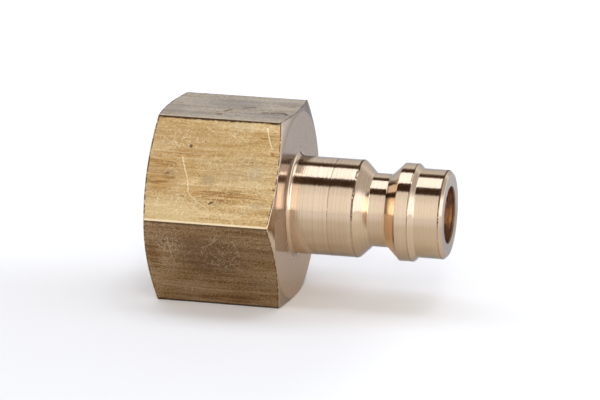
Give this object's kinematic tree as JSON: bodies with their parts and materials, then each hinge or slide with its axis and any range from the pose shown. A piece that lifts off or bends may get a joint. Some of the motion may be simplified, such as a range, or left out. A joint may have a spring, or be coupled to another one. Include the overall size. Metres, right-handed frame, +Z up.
{
  "type": "quick disconnect coupler plug",
  "caption": "Brass plug half of a quick disconnect coupler: hexagon with a threaded port, then a neck with a guide shank, a lock groove and collar, and a sealing tip; open bore.",
  "frame": {"origin": "where the axis crosses the shoulder, the face that the neck grows from", "axes": "+X along the axis from the threaded port to the sealing tip; +Z up, square to two of the hexagon's flats, on one of which the part rests"},
  "size_m": [0.0259, 0.0196, 0.017],
  "materials": {
    "brass": "free-cutting brass: cold-drawn, stained and lightly scratched on the hexagon's flats; fine-turned and bright on the end faces, neck and tip"
  },
  "bodies": {
    "root": {"plug_body": "brass"}
  },
  "joints": []
}
